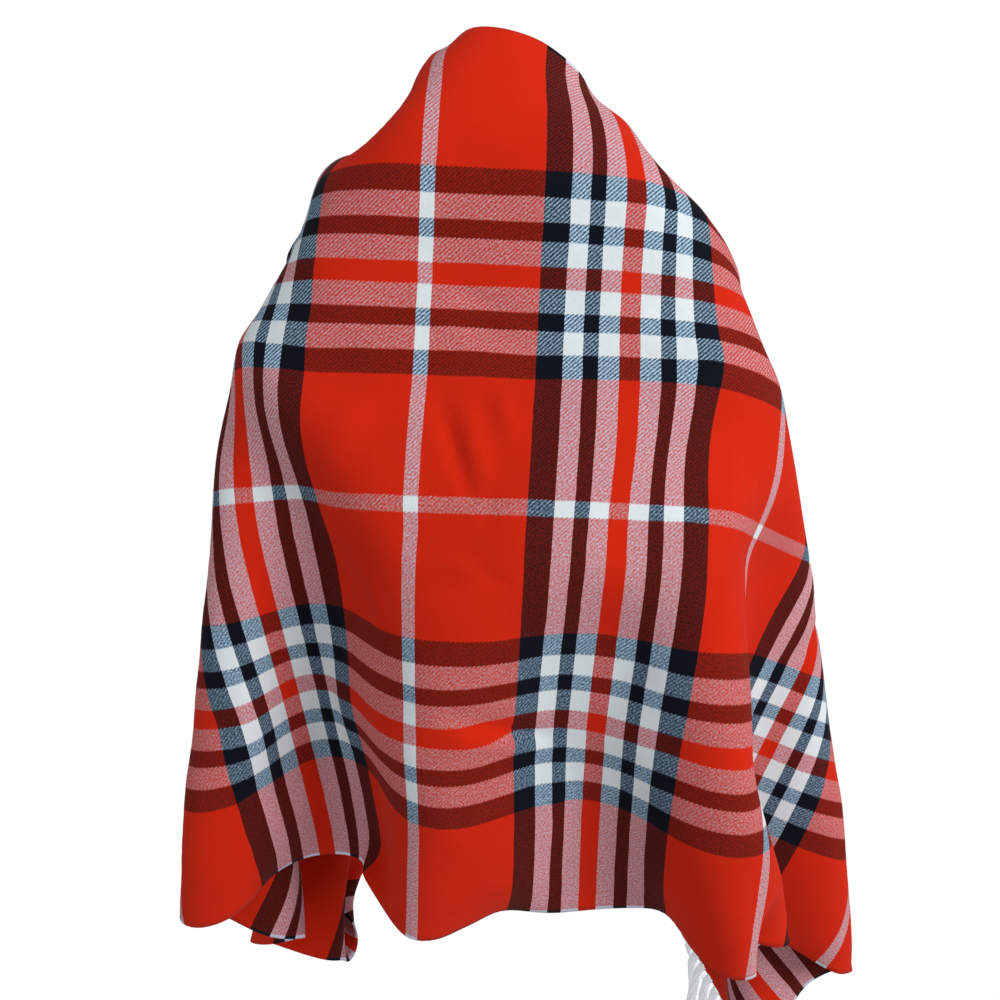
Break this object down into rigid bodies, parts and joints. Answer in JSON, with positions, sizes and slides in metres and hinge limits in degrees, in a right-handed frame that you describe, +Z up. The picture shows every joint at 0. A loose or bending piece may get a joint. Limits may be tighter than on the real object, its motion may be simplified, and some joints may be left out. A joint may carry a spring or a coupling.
{
  "type": "tartan blanket scarf worn as a shawl",
  "caption": "Long rectangular woven blanket scarf with fringed ends, lying round the neck and shoulders as it is worn, its hem falling in deep folds and its two fronts crossed.",
  "frame": {"origin": "middle of the wearer's neck at the height where the cloth rests on it, which is where the scarf is held", "axes": "+Z up; the wearer faces +Y and their back is towards -Y; +X is the right-hand side of someone looking at the back"},
  "size_m": [0.6117, 0.5265, 1.0318],
  "materials": {
    "tartan_cloth": "matte, soft brushed wool look, chunky twill",
    "fringe_yarn": "matte yarn"
  },
  "bodies": {
    "root": {"back_stretch": "tartan_cloth", "left_stretch": "tartan_cloth", "right_stretch": "tartan_cloth", "left_fringe": "fringe_yarn", "right_fringe": "fringe_yarn"}
  },
  "joints": []
}
